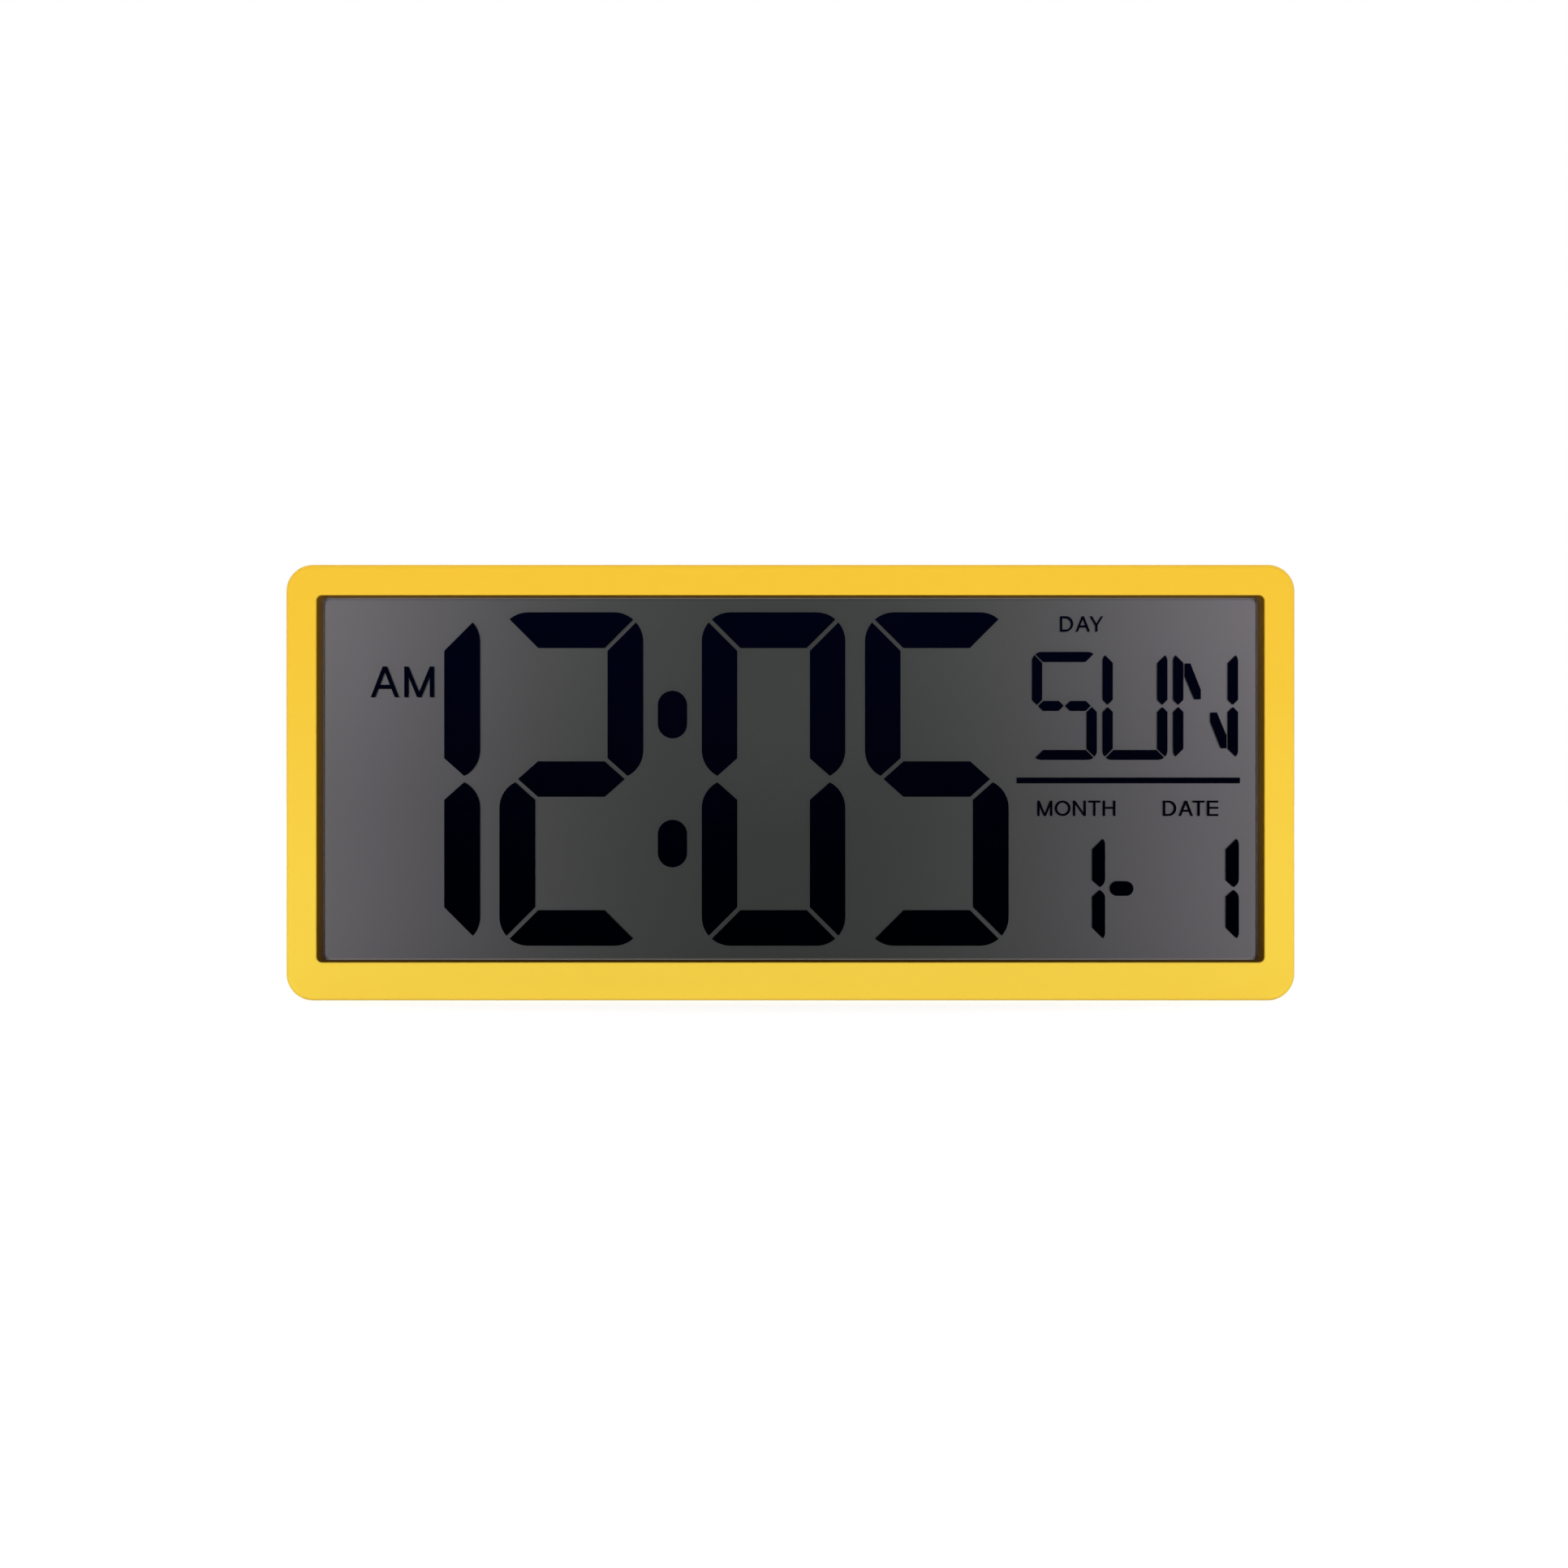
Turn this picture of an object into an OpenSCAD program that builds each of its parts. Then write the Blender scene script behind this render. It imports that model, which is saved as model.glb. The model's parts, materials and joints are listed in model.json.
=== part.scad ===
// Digital wall clock: a frame with a deep window, a liquid crystal display behind it and a rear cover
// with keyholes, a battery bay, push buttons and two fold-out legs.
// X runs to the right seen from the front, Y from the front into the wall and Z up.
// The origin is the middle of the wall plane, so all of the clock lies at Y of 0 or less.

/* [Housing] */
// Width of the housing
body_w = 361; // [325:1:420]
// Height of the housing
body_h = 156; // [140:1:180]
// Depth of the housing from its front face to the wall
body_d = 34; // [33.5:0.5:45]
// Radius of the housing's corners, seen from the front
corner_r = 9.5; // [6:0.5:12]
// Thickness of the frame's and the cover's walls
wall = 2.4; // [1.8:0.1:2.8]
// Depth of the rear cover's rim, from the wall to the parting line
rear_rim_d = 6; // [5.5:0.5:8]
// Radius along the frame's front edge
front_edge_r = 1.5; // [0.5:0.1:2]
// Radius along the rear cover's back edge
back_edge_r = 2; // [0.5:0.1:2.2]
// Height of the tongue that lines the cover up inside the frame
tongue_h = 3; // [2:0.5:4]
// Thickness of that tongue
tongue_t = 1.2; // [0.8:0.1:1.6]

/* [Window] */
// Width of the frame's face at the left and right
bezel_side = 11; // [9:0.1:11.5]
// Width of the frame's face above the window
bezel_top = 11; // [10:0.1:12]
// Width of the frame's face below the window
bezel_bottom = 13.7; // [13:0.1:16]
// Depth of the window, from the front face to the display
recess_d = 10.5; // [8:0.5:11]
// Radius of the window's corners
window_r = 2; // [1:0.1:4]
// Radius along the window's front edge
window_edge_r = 0.5; // [0.3:0.1:1.2]
// Thickness of the window's side walls
window_wall = 2; // [1.5:0.1:2.4]

/* [Display panel] */
// Thickness of the gasket between window wall and display
gasket_t = 0.5; // [0.3:0.1:1]
// Thickness of the front film
film_t = 0.25; // [0.2:0.05:0.4]
// Thickness of each glass plate
glass_t = 1.5; // [1.1:0.1:1.8]
// Thickness of the layer between the plates that holds the figures
cell_t = 0.2; // [0.1:0.05:0.3]
// Width of the seal around that layer
seal_w = 1.5; // [1:0.1:2]
// Thickness of the reflecting film
reflector_t = 0.3; // [0.2:0.05:0.5]
// Height of the contact ledge along the front plate's lower edge
ledge_h = 3; // [2:0.1:3.2]
// Thickness of the frame that clamps the display
clamp_t = 2.5; // [1.5:0.1:3]
// Width of the clamp frame's grip on the display
clamp_grip = 6; // [4:0.5:8]

/* [Time figures] */
// Stroke of a time digit
digit_stroke = 12.9; // [10:0.1:14]
// Gap between the segments of a time digit
digit_gap = 1.6; // [1:0.1:2]
// Corner radius of a time digit
digit_r = 10.5; // [4:0.5:12]
// Slope of the segments' ends at the waist of a digit, in degrees
waist_angle = 41.6; // [38:0.1:45]
// Distance from an upright segment's tip at the waist to its outer edge, as a share of the stroke
waist_tip = 0.4; // [0.3:0.05:0.5]
// Space between two time digits
digit_space = 7.2; // [5:0.1:10]
// Space beside the colon
colon_space = 5.4; // [4:0.1:8]
// Width of a colon dot
colon_w = 10.6; // [8:0.1:14]
// Height of a colon dot
colon_h = 17.3; // [14:0.1:20]
// Distance between the centres of the colon dots
colon_pitch = 47; // [30:0.5:60]
// Space from the window's top to the time digits
digit_top = 5; // [3:0.1:9]
// Space from the window's bottom to the time digits
digit_bottom = 4.9; // [3:0.1:9]
// Space from the window's left to the right edge of the tens digit
tens_right = 56.4; // [50:0.1:62]
// Cap height of the morning mark
am_h = 11.2; // [8:0.1:13]
// Space between the morning mark and the tens digit
am_space = 3.8; // [2.5:0.1:8]
// Space from the window's top to the morning mark
am_top = 24.7; // [10:0.1:40]

/* [Calendar figures] */
// Space between the time digits and the calendar column
calendar_space = 3; // [2:0.1:8]
// Space from the window's right to the weekday characters
day_margin = 6.5; // [6:0.1:7.4]
// Height of a weekday character
day_h = 39.3; // [30:0.1:42]
// Width of a weekday character
day_w = 23.5; // [20:0.1:24]
// Distance from one weekday character to the next
day_pitch = 25.7; // [25:0.1:25.8]
// Stroke of a weekday character
day_stroke = 3.6; // [2.5:0.1:4]
// Corner radius of a weekday character
day_r = 3.4; // [1:0.1:4]
// Gap between the segments of a weekday character
day_gap = 0.6; // [0.4:0.1:0.9]
// Space from the window's top to the weekday characters
day_top = 19.4; // [16:0.1:22]
// Length of the bar between weekday and date
divider_w = 81.2; // [60:0.1:82]
// Thickness of that bar
divider_t = 2.1; // [1:0.1:3]
// Space from the window's right to that bar
divider_margin = 5.8; // [5:0.1:6.4]
// Space from the window's top to the middle of that bar
divider_top = 66.2; // [63:0.1:68]
// Cap height of the small labels
label_h = 5.6; // [4:0.1:6]
// Distance from the window's right to the middle of the weekday label
day_label_x = 63.4; // [55:0.1:70]
// Distance from the window's right to the middle of the month label
month_label_x = 65.3; // [60:0.1:68]
// Distance from the window's right to the middle of the date label
date_label_x = 23.7; // [18:0.1:30]
// Space from the window's top to the weekday label
day_label_top = 6.4; // [4:0.1:10]
// Space from the bar to the labels under it
date_label_space = 6.3; // [4:0.1:8]
// Width of a date digit
date_w = 17; // [15:0.1:18]
// Stroke of a date digit
date_stroke = 4.6; // [4:0.1:5]
// Gap between the segments of a date digit
date_gap = 0.9; // [0.6:0.1:1.2]
// Corner radius of a date digit
date_r = 3.6; // [2:0.1:4]
// Space from the small labels to the date digits under them
date_space = 6.9; // [5:0.1:9]
// Space from the window's bottom to the date digits
date_bottom = 6.2; // [4:0.1:9]
// Space from the window's right to the date digit
date_margin = 6.2; // [6:0.1:8]
// Space from the window's right to the month digit
month_margin = 54.9; // [50:0.1:60]
// Space from the month digit to the dash
dash_space = 1.8; // [1.5:0.1:3]
// Length of the dash
dash_w = 8.5; // [6:0.1:9]
// Thickness of the dash
dash_h = 5.3; // [4:0.1:6]

/* [Fastenings] */
// Distance of the screw bosses' axes from the housing's top and bottom
boss_inset = 4.9; // [4.8:0.1:5]
// Radius of a screw boss
boss_r = 2.9; // [2.8:0.1:3]
// Distance from the middle to the outer cover screws
cover_screw_x = 150; // [140:1:160]
// Radius of a cover screw's shank
cover_screw_r = 1.2; // [1:0.05:1.25]
// Radius of a cover screw's head
cover_head_r = 2.2; // [1.9:0.05:2.3]
// Height of a cover screw's head
cover_head_h = 1.7; // [1.2:0.1:2]
// Length of a cover screw's shank
cover_screw_l = 10; // [8:0.5:14]
// Distance from the middle to the inner clamp screws
clamp_screw_inner_x = 40; // [20:1:41]
// Distance from the middle to the outer clamp screws
clamp_screw_outer_x = 100; // [97:1:140]
// Radius of a clamp screw's shank
clamp_screw_r = 1; // [0.8:0.05:1.2]
// Radius of a clamp screw's head
clamp_head_r = 2; // [1.6:0.1:2.2]
// Height of a clamp screw's head
clamp_head_h = 1.4; // [1:0.1:1.8]
// Length of a clamp screw's shank
clamp_screw_l = 7; // [6:0.5:9]

/* [Wall keyholes] */
// Distance between the two keyholes
keyhole_pitch = 210; // [190:1:230]
// Height of the keyholes' entry above the middle
keyhole_z = 44; // [36:1:48]
// Radius of a keyhole's entry
keyhole_r = 4.5; // [3.5:0.1:5]
// Half the width of a keyhole's slot
keyslot_r = 2.2; // [1.8:0.1:2.6]
// Length of a keyhole's slot above its entry
keyslot_l = 9; // [7:0.5:11]
// Depth of the closed pocket behind a keyhole
keypocket_d = 6; // [5:0.5:8]
// Thickness of the inner walls of the cover
inner_wall = 1.4; // [1:0.1:1.6]

/* [Battery bay] */
// Radius of a battery cell
cell_r = 7.25; // [6.9:0.05:7.3]
// Length of a battery cell with its nub
cell_l = 50.5; // [49:0.5:51]
// Radius of the nub
nub_r = 2.75; // [2:0.05:3]
// Height of the nub
nub_h = 1; // [0.8:0.1:1.5]
// Room between and around the cells
cell_room = 0.35; // [0.2:0.05:0.4]
// Length of a contact spring as fitted
spring_l = 6.2; // [5.5:0.1:7]
// Radius of a contact spring at its foot
spring_foot_r = 4.6; // [4:0.1:5]
// Radius of a contact spring at its tip
spring_tip_r = 3; // [2.5:0.1:3.5]
// Radius of the spring wire
spring_wire_r = 0.4; // [0.3:0.05:0.45]
// Turns of a contact spring
spring_turns = 4; // [3:1:4]
// Thickness of a contact plate
contact_t = 0.5; // [0.3:0.1:0.8]
// Thickness of the battery door
door_t = 2; // [1.6:0.1:2.4]
// Distance the battery door lies below the wall plane
door_sink = 0.3; // [0.2:0.05:0.6]
// Margin of the battery door over the bay at its sides
door_margin_x = 3; // [2.5:0.5:6]
// Margin of the battery door over the bay above and below
door_margin_z = 4.8; // [4.5:0.1:8]
// Room around the battery door
door_room = 0.4; // [0.3:0.05:0.6]
// Radius of the door's hinge stubs
stub_r = 0.8; // [0.6:0.05:0.9]
// Length of the door's hinge stubs
stub_l = 1.2; // [1:0.1:1.4]

/* [Stand legs] */
// Distance from the middle to each leg
leg_x = 110; // [104:1:125]
// Width of a leg
leg_w = 22; // [16:1:24]
// Length of a leg from its hinge axis to its tip
leg_l = 48; // [40:1:50]
// Thickness of a leg
leg_t = 4; // [3:0.1:4.2]
// Radius of a leg's hinge barrel
barrel_r = 2.6; // [2.2:0.1:2.7]
// Depth of the hinge axis below the wall plane
leg_axis_d = 3.5; // [3.5:0.1:3.8]
// Height of the hinge axis above the housing's bottom
leg_axis_h = 11.5; // [11:0.5:14]
// Radius of the hinge pin
pin_r = 1; // [0.8:0.05:1.2]
// Room for a finger beyond the leg's tip
finger_room = 9; // [7:0.5:12]

/* [Buttons and board] */
// Middle of the circuit board, to the right seen from the front
board_x = 69; // [68:0.5:72]
// Middle of the circuit board above the middle of the housing
board_z = 11; // [8:0.5:14]
// Width of the circuit board
board_w = 54; // [52:1:56]
// Height of the circuit board
board_h = 46; // [42:1:50]
// Thickness of the circuit board
board_t = 1.6; // [1:0.1:1.8]
// Height of the posts that carry the circuit board
board_post_h = 6.6; // [6.2:0.1:7]
// Distance from one button to the next
button_pitch = 13; // [12:0.5:14]
// Radius of a button
button_r = 4; // [3:0.1:4.5]
// Radius of a button's inner flange
button_flange_r = 5.2; // [5:0.1:5.6]
// Travel of a button
button_travel = 0.6; // [0.4:0.1:0.7]
// Distance a button lies below the wall plane
button_sink = 0.6; // [0.4:0.1:0.8]
// Side of a tactile switch
switch_w = 6; // [5:0.5:7]
// Height of a tactile switch without its plunger
switch_h = 3.5; // [3:0.1:3.8]
// Radius of a switch plunger
plunger_r = 1.75; // [1.2:0.05:2]
// Width of the ribbon between display and board
ribbon_w = 40; // [30:1:42]

/* [Hidden] */
$fn = 64;
yellow = "#f6cb3e";
graphite = "#2a2c2e";
lit_ink = "#050812";

// Clearances
slip = 0.25;
running = 0.05;
press = 0.03;
free = 0.5;
cut = 1;
overlap = 0.5;

// Depths, counted from the wall plane towards the front
y_front = -body_d;
y_split = -rear_rim_d;
y_plate = -wall;
y_film = y_front + recess_d;
y_window_end = y_film - gasket_t;
y_glass_front = y_film + film_t;
y_cell = y_glass_front + glass_t;
y_glass_rear = y_cell + cell_t;
y_reflector = y_glass_rear + glass_t;
y_clamp = y_reflector + reflector_t;
y_clamp_back = y_clamp + clamp_t;

// Window and display outlines
window_w = body_w - 2 * bezel_side;
window_top = body_h / 2 - bezel_top;
window_bottom = bezel_bottom - body_h / 2;
window_h = window_top - window_bottom;
window_z = (window_top + window_bottom) / 2;
window_left = -window_w / 2;
window_right = window_w / 2;
glass_w = window_w + 2 * window_wall;
glass_h = window_h + 2 * window_wall;
glass_bottom = window_bottom - window_wall;
ledge_bottom = glass_bottom - ledge_h;

// Screws
boss_z = body_h / 2 - boss_inset;
cover_screw_xs = [-cover_screw_x, 0, cover_screw_x];
clamp_screw_xs = [for (side = [-1, 1], x = [clamp_screw_inner_x, clamp_screw_outer_x]) side * x];
cover_bore_r = cover_head_r + slip;
cover_web = 1.8;
cover_seat_y = y_split + cover_web;
post_r = cover_bore_r + 1.1;
pilot_extra = 1;

// Time figures, chained from the window's left, with digits that fill the room beside the calendar
digit_h = window_h - digit_top - digit_bottom;
digit_z = window_top - digit_top - digit_h / 2;
calendar_w = calendar_space + divider_w + divider_margin;
digit_w = (window_w - tens_right - 2 * digit_space - 2 * colon_space - colon_w - calendar_w) / 3;
tens_x = window_left + tens_right - digit_w / 2;
hours_x = tens_x + digit_w + digit_space;
colon_x = hours_x + digit_w / 2 + colon_space + colon_w / 2;
minute_tens_x = colon_x + colon_w / 2 + colon_space + digit_w / 2;
minutes_x = minute_tens_x + digit_w + digit_space;
am_right = window_left + tens_right - digit_stroke - am_space;

// Calendar figures, chained from the window's right
day_right_x = window_right - day_margin - day_w / 2;
day_z = window_top - day_top - day_h / 2;
divider_z = window_top - divider_top;
date_x = window_right - date_margin - date_w / 2;
month_x = window_right - month_margin - date_w / 2;
dash_x = month_x + date_w / 2 + dash_space + dash_w / 2;
date_label_top = divider_z - divider_t / 2 - date_label_space;
date_digit_top = date_label_top - label_h - date_space;
date_digit_bottom = window_bottom + date_bottom;
date_h = date_digit_top - date_digit_bottom;
date_z = (date_digit_top + date_digit_bottom) / 2;

// Battery bay, with two cells side by side along X
cell_pitch = 2 * cell_r + cell_room;
bay_w = cell_l + spring_l + 2 * contact_t + cell_room;
bay_h = 2 * cell_pitch + cell_room;
y_door_front = -door_sink - door_t;
y_ledge = y_door_front - slip;
y_cells = y_door_front - free - cell_r;
y_bay_floor = y_cells - cell_r - slip;
door_w = bay_w + 2 * door_margin_x;
door_h = bay_h + 2 * door_margin_z;
door_axis_y = -door_sink - door_t / 2;
door_axis_z = -door_h / 2 + door_t / 2;
contact_inner_x = bay_w / 2 - contact_t;
tab_w = 3;
tab_reach = inner_wall + 2.5;

// Stand legs
leg_z = leg_axis_h - body_h / 2;
leg_y = -leg_axis_d;
leg_sink = 0.4;
leg_side_room = 0.5;
leg_heel_room = 2;
leg_tip_r = 3;
leg_pocket_half = leg_w / 2 + leg_side_room;
y_leg_floor = leg_y - barrel_r - slip;

// Board, buttons and switches
y_board_back = y_plate - board_post_h;
y_board_front = y_board_back - board_t;
button_xs = [for (i = [0 : 3]) board_x + (i - 1.5) * button_pitch];
button_z = board_z;
button_gap = 0.15;
button_flange_t = 1;
y_flange_back = y_plate - button_gap;
y_flange_front = y_flange_back - button_flange_t;
y_switch_back = y_board_back + switch_h;
plunger_depth = 1.3;
board_post_r = 2.4;
board_post_inset = 4;
board_screw_r = 0.9;
board_screw_l = 5.5;
board_head_r = 1.7;
board_head_h = 1.2;
board_posts = [for (x = [-1, 1], z = [-1, 1])
    [board_x + x * (board_w / 2 - board_post_inset), board_z + z * (board_h / 2 - board_post_inset)]];
ribbon_t = 0.3;
ribbon_bond = 4;
ribbon_notch_room = 2;
lead_r = 0.6;
tab_y = y_board_front + contact_t / 2;

// Shapes that repeat

// An outline drawn in X and Z, given depth from y0 back to y1
module layer(y0, y1) {
    translate([0, y1, 0])
        rotate([90, 0, 0])
            linear_extrude(y1 - y0)
                children();
}

// A round rod along Y
module rod_y(x, z, y0, y1, r) {
    translate([x, y1, z])
        rotate([90, 0, 0])
            cylinder(r = r, h = y1 - y0);
}

// A round rod along X
module rod_x(x0, x1, y, z, r) {
    translate([x0, y, z])
        rotate([0, 90, 0])
            cylinder(r = r, h = x1 - x0);
}

// The two limits at a distance from a middle
function span(middle, half) = [middle - half, middle + half];

// A box between two limits on each axis
module block(x, y, z) {
    translate([x[0], y[0], z[0]])
        cube([x[1] - x[0], y[1] - y[0], z[1] - z[0]]);
}

module rounded_rect(w, h, r) {
    square([w - 2 * r, h], center = true);
    square([w, h - 2 * r], center = true);
    for (x = [-1, 1], z = [-1, 1])
        translate([x * (w / 2 - r), z * (h / 2 - r)])
            circle(r);
}

// A profile swept around a rectangle w by h with corners r, which lies in X and Y.
// The profile's X is counted outwards from the corner's centre, and its Y becomes height.
module swept_rim(w, h, r) {
    for (mx = [0, 1], my = [0, 1])
        mirror([mx, 0, 0])
            mirror([0, my, 0])
                translate([w / 2 - r, h / 2 - r, 0])
                    rotate_extrude(angle = 90)
                        children();
    for (my = [0, 1])
        mirror([0, my, 0])
            translate([r - w / 2, h / 2 - r, 0])
                rotate([90, 0, 90])
                    linear_extrude(w - 2 * r)
                        children();
    for (mx = [0, 1])
        mirror([mx, 0, 0])
            translate([w / 2 - r, h / 2 - r, 0])
                rotate([90, 0, 0])
                    linear_extrude(h - 2 * r)
                        children();
}

// Half of the housing: a rim of depth d and a face across its top, with the outer edge rounded to e
module shell_half(d, e) {
    swept_rim(body_w, body_h, corner_r) {
        union() {
            translate([corner_r - wall, 0])
                square([wall, d - e]);
            translate([0, d - wall])
                square([corner_r - e, wall]);
            translate([corner_r - e, d - e])
                circle(e);
        }
    }
    translate([0, 0, d - wall / 2])
        cube([body_w - 2 * corner_r, body_h - 2 * corner_r, wall], center = true);
}

// Wall around the window, with its front inner edge rounded
module window_tunnel(d) {
    swept_rim(window_w, window_h, window_r) {
        union() {
            translate([window_r, 0])
                square([window_wall, d - window_edge_r]);
            translate([window_r + window_edge_r, 0])
                square([window_wall - window_edge_r, d]);
            translate([window_r + window_edge_r, d - window_edge_r])
                circle(window_edge_r);
        }
    }
}

// Outline of the window, grown by a margin
module window_outline(margin) {
    translate([0, window_z])
        rounded_rect(window_w + 2 * margin, window_h + 2 * margin, window_r + margin);
}

// Screw positions along the top and the bottom of the housing
module at_bosses(xs) {
    for (x = xs, side = [-1, 1])
        translate([x, 0, side * boss_z])
            children();
}

// A screw that points to the front, with its head seated at y
module screw(y, shank_r, shank_l, head_r, head_h) {
    difference() {
        union() {
            rod_y(0, 0, y, y + head_h, head_r);
            rod_y(0, 0, y - shank_l, y + overlap, shank_r);
        }
        screw_cross(y + head_h, head_r);
    }
}

// Cross recess in a screw's head whose top lies at y
module screw_cross(y, head_r) {
    recess_l = 1.2 * head_r;
    recess_w = 0.3 * head_r;
    recess_d = 0.4 * head_r;
    for (turn = [0, 90])
        rotate([0, turn, 0])
            translate([0, y, 0])
                cube([recess_l, 2 * recess_d, recess_w], center = true);
}

// Housing

module front_frame() {
    color(yellow) {
        difference() {
            translate([0, y_split, 0])
                rotate([90, 0, 0])
                    shell_half(body_d - rear_rim_d, front_edge_r);
            layer(y_front - cut, y_front + wall + cut)
                window_outline(window_wall - overlap);
        }
        translate([0, y_window_end, window_z])
            rotate([90, 0, 0])
                window_tunnel(recess_d - gasket_t);
        frame_bosses(cover_screw_xs, y_split, cover_screw_r + running, cover_screw_l);
        frame_bosses(clamp_screw_xs, y_clamp, clamp_screw_r + running, clamp_screw_l);
    }
}

// Bosses that stand on the frame's face and end at y, each with a pilot hole
module frame_bosses(xs, y, pilot_r, depth) {
    at_bosses(xs)
        difference() {
            rod_y(0, 0, y_front + wall - overlap, y, boss_r);
            rod_y(0, 0, y - depth - pilot_extra, y + cut, pilot_r);
        }
}

module rear_cover() {
    color(yellow)
        difference() {
            union() {
                translate([0, y_split, 0])
                    rotate([-90, 0, 0])
                        shell_half(rear_rim_d, back_edge_r);
                at_bosses(cover_screw_xs)
                    rod_y(0, 0, y_split, y_plate + overlap, post_r);
                cover_tongues();
                for (side = [-1, 1])
                    translate([side * keyhole_pitch / 2, 0, keyhole_z])
                        keyhole_pocket(inner_wall, y_plate + overlap);
                battery_bay_walls();
                for (side = [-1, 1])
                    translate([side * leg_x, 0, leg_z])
                        leg_pocket(inner_wall, y_plate + overlap);
                for (p = board_posts)
                    rod_y(p[0], p[1], y_board_back, y_plate + overlap, board_post_r);
            }
            at_bosses(cover_screw_xs) {
                rod_y(0, 0, cover_seat_y, cut, cover_bore_r);
                rod_y(0, 0, y_split - cut, cut, cover_screw_r + slip);
            }
            for (side = [-1, 1])
                translate([side * keyhole_pitch / 2, 0, keyhole_z]) {
                    keyhole_pocket(0, y_plate);
                    keyhole();
                }
            battery_bay_room();
            for (side = [-1, 1])
                translate([side * leg_x, 0, leg_z]) {
                    leg_pocket(0, cut);
                    leg_pin(press, cut);
                }
            for (x = button_xs)
                rod_y(x, button_z, y_plate - cut, cut, button_r + slip);
            for (p = board_posts)
                rod_y(p[0], p[1], y_board_back - cut, y_board_back + board_screw_l,
                      board_screw_r + running);
        }
}

// Tongues along the straight stretches of the cover's rim, which slip inside the frame
module cover_tongues() {
    side_l = body_h - 2 * corner_r - 4 * post_r;
    top_l = cover_screw_x - 4 * post_r;
    for (side = [-1, 1], half = [-1, 1])
        translate([half * cover_screw_x / 2, 0, side * body_h / 2])
            rotate([0, side > 0 ? 0 : 180, 0])
                tongue(top_l);
    for (side = [-1, 1])
        translate([side * body_w / 2, 0, 0])
            rotate([0, side * 90, 0])
                tongue(side_l);
}

// One tongue of length l, under an edge at Z = 0
module tongue(l) {
    block([-l / 2, l / 2], [y_split - tongue_h, y_plate + overlap],
          [-wall - slip - tongue_t, -wall - slip]);
    block([-l / 2, l / 2], [y_split, y_plate + overlap], [-wall - slip - tongue_t, -wall + overlap]);
}

module keyhole() {
    rod_y(0, 0, y_plate - cut, cut, keyhole_r);
    rod_y(0, keyslot_l, y_plate - cut, cut, keyslot_r);
    block([-keyslot_r, keyslot_r], [y_plate - cut, cut], [0, keyslot_l]);
}

// Closed pocket for the screw's head behind a keyhole, grown by a wall, up to y
module keyhole_pocket(grow, y) {
    half = keyhole_r + free + grow;
    block([-half, half], [y_plate - keypocket_d - grow, y], [-half, keyslot_l + half]);
}

module leg_pocket(grow, y) {
    half = leg_pocket_half + grow;
    block([-half, half], [y_leg_floor - grow, y],
          [-barrel_r - leg_heel_room - grow, leg_l + finger_room + grow]);
}

module leg_pin(grow, reach) {
    half = leg_pocket_half + inner_wall + reach;
    rod_x(-half, half, leg_y, 0, pin_r + grow);
}

module battery_bay_walls() {
    pan_w = door_w / 2 + door_room + stub_l + inner_wall;
    pan_h = door_h / 2 + door_room + inner_wall;
    block([-pan_w, pan_w], [y_ledge - inner_wall, y_plate + overlap], [-pan_h, pan_h]);
    block([-bay_w / 2 - inner_wall, bay_w / 2 + inner_wall],
          [y_bay_floor - inner_wall, y_ledge],
          [-bay_h / 2 - inner_wall, bay_h / 2 + inner_wall]);
}

module battery_bay_room() {
    thumb_r = 8;
    thumb_d = 1.6;
    door_x = door_w / 2 + door_room;
    door_z = door_h / 2 + door_room;
    block([-door_x, door_x], [y_ledge, cut], [-door_z, door_z]);
    block([-bay_w / 2, bay_w / 2], [y_bay_floor, y_ledge + cut], [-bay_h / 2, bay_h / 2]);
    rod_x(-door_x - stub_l, door_x + stub_l, door_axis_y, door_axis_z, stub_r + running);
    rod_y(0, door_z - thumb_r / 2, -thumb_d, cut, thumb_r);
    for (side = [-1, 1])
        block([bay_w / 2 - cut, bay_w / 2 + inner_wall + cut],
              span(tab_y, contact_t / 2 + slip),
              span(side * cell_pitch / 2, tab_w / 2 + slip));
}

module rear_cover_screws() {
    color("silver")
        at_bosses(cover_screw_xs)
            screw(cover_seat_y, cover_screw_r, cover_screw_l, cover_head_r, cover_head_h);
}

module battery_door() {
    color(yellow)
        difference() {
            union() {
                block([-door_w / 2, door_w / 2], [y_door_front, -door_sink], [door_axis_z, door_h / 2]);
                rod_x(-door_w / 2, door_w / 2, door_axis_y, door_axis_z, door_t / 2);
                rod_x(-door_w / 2 - stub_l, door_w / 2 + stub_l, door_axis_y, door_axis_z, stub_r);
            }
            door_grips();
        }
}

// Shallow grooves across the door's thumb area
module door_grips() {
    grip_count = 4;
    grip_pitch = 2.4;
    grip_l = 18;
    grip_w = 1;
    grip_d = 0.5;
    for (i = [0 : grip_count - 1])
        translate([0, -door_sink, door_h / 2 - (i + 1.5) * grip_pitch])
            cube([grip_l, 2 * grip_d, grip_w], center = true);
}

module stand_leg(side) {
    color(yellow)
        translate([side * leg_x, 0, leg_z])
            difference() {
                union() {
                    layer(-leg_sink - leg_t, -leg_sink)
                        leg_outline();
                    rod_x(-leg_w / 2, leg_w / 2, leg_y, 0, barrel_r);
                }
                rod_x(-leg_w / 2 - cut, leg_w / 2 + cut, leg_y, 0, pin_r + running);
            }
}

module leg_outline() {
    translate([-leg_w / 2, 0])
        square([leg_w, leg_l - leg_tip_r]);
    translate([leg_tip_r - leg_w / 2, 0])
        square([leg_w - 2 * leg_tip_r, leg_l]);
    for (x = [-1, 1])
        translate([x * (leg_w / 2 - leg_tip_r), leg_l - leg_tip_r])
            circle(leg_tip_r);
}

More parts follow.
